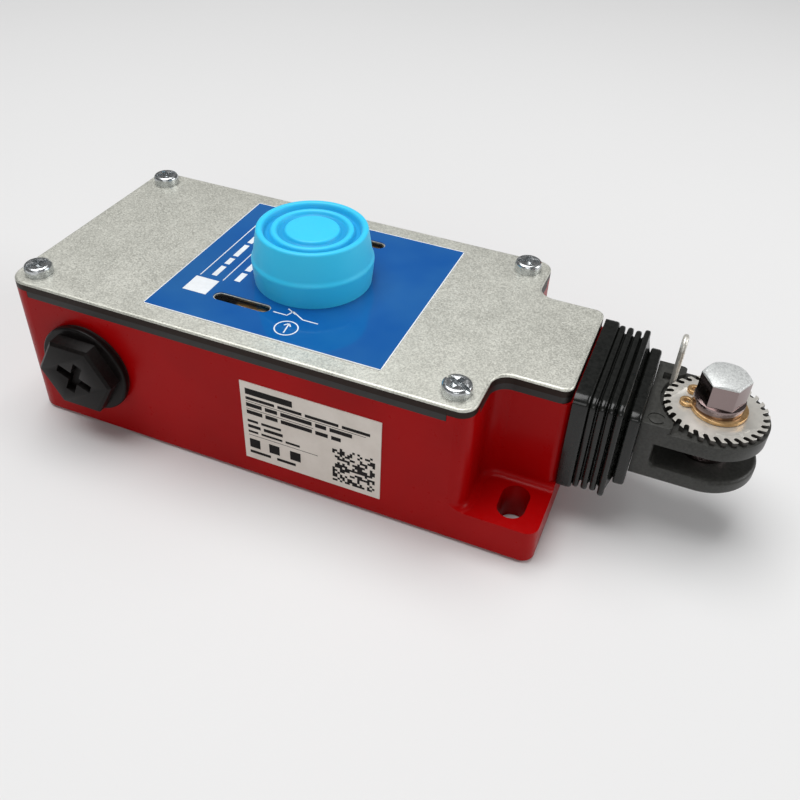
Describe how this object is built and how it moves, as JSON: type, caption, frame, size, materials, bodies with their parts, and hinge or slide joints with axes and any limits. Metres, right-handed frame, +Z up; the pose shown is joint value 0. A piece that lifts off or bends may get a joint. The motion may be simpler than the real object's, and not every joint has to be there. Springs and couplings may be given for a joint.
{
  "type": "rope-pull limit switch",
  "caption": "Latching rope-pull switch: red cast body with a flat cover, booted reset button, rubber bellows and a fork with a ratchet rope tensioner.",
  "frame": {"origin": "centre of the body's rectangular footprint, on the flat mounting face", "axes": "+X along the pull shaft towards the pull head, +Y across the body, +Z up out of the mounting face towards the cover"},
  "size_m": [0.1901, 0.0768, 0.0571],
  "materials": {
    "red_enamel": "semi-gloss",
    "bare_plate": "tumbled",
    "black_rubber": "satin",
    "zinc_plate": "bright",
    "blue_print": "gloss",
    "clear_lens": "clear",
    "pale_label": "matte",
    "black_plastic": "satin",
    "blue_rubber": "satin",
    "spring_steel": "satin",
    "grey_cast": "satin",
    "bright_steel": "bright",
    "yellow_zinc": "passivated",
    "brass": "satin",
    "amber_flag": "gloss",
    "grey_plastic": "satin"
  },
  "bodies": {
    "base": {"housing": "red_enamel", "cover": "bare_plate", "cover_gasket": "black_rubber", "cover_screws": "zinc_plate", "cover_label": "blue_print", "window_lenses": "clear_lens", "side_label": "pale_label", "blanking_plug": "black_plastic", "plug_seal": "black_rubber", "reset_boot": "blue_rubber", "reset_sleeve": "grey_plastic", "sleeve_nut": "grey_plastic", "reset_spring": "spring_steel", "bellows": "black_rubber", "front_bush": "brass", "mechanism_frame": "zinc_plate", "frame_screws": "zinc_plate", "contact_base": "black_plastic", "contact_lid": "grey_plastic", "contact_springs": "spring_steel", "terminal_strips": "brass", "terminal_screws": "zinc_plate", "latch_pin": "spring_steel", "latch_springs": "spring_steel", "earth_clamp": "brass", "earth_screw": "brass", "main_spring": "spring_steel"},
    "head": {"pull_shaft": "spring_steel", "clevis": "grey_cast", "cross_pin": "spring_steel", "cam_carriage": "grey_plastic", "shaft_rings": "spring_steel", "spring_collar": "brass", "indicator_flags": "amber_flag"},
    "spindle": {"tension_spindle": "bright_steel", "ratchet_wheel": "bright_steel", "circlip": "yellow_zinc", "lower_ring": "spring_steel"},
    "pawl": {"wire_pawl": "bright_steel"},
    "button": {"reset_plunger": "grey_plastic", "reset_clip": "spring_steel"},
    "contacts": {"contact_plungers": "grey_plastic", "contact_bridges": "brass"},
    "latch": {"latch_lever": "zinc_plate"}
  },
  "joints": [
    {"name": "head_slide", "type": "slide", "parent": "base", "child": "head", "axis": [1, 0, 0], "range_m": [0, 0.015], "stiffness_N_per_m": 2500, "springref_m": -0.004, "deforming": ["main_spring", "bellows"]},
    {"name": "spindle_spin", "type": "hinge", "parent": "head", "child": "spindle", "pos_m": [0.1042, 0, 0.026], "axis": [0, 0, 1], "continuous": true},
    {"name": "pawl_swing", "type": "hinge", "parent": "head", "child": "pawl", "pos_m": [0.09303, 0.0114, 0.035], "axis": [0, 0, -1], "range_deg": [0, 18], "stiffness_Nm_per_rad": 0.0005},
    {"name": "reset_press", "type": "slide", "parent": "base", "child": "button", "axis": [0, 0, -1], "range_m": [0, 0.0025], "stiffness_N_per_m": 800, "springref_m": -0.003, "deforming": ["reset_boot", "reset_spring"]},
    {"name": "contact_press", "type": "slide", "parent": "base", "child": "contacts", "axis": [0, 0, -1], "range_m": [0, 0.0025], "deforming": ["contact_springs"]},
    {"name": "latch_lift", "type": "hinge", "parent": "base", "child": "latch", "pos_m": [0.017, 0, 0.0349], "axis": [0, -1, 0], "range_deg": [0, 7.6]}
  ],
  "couplings": [
    {"joint": "contact_press", "follows": "head_slide", "ratio": 0.16},
    {"joint": "latch_lift", "follows": "reset_press", "rad_per_m": 52.632}
  ]
}
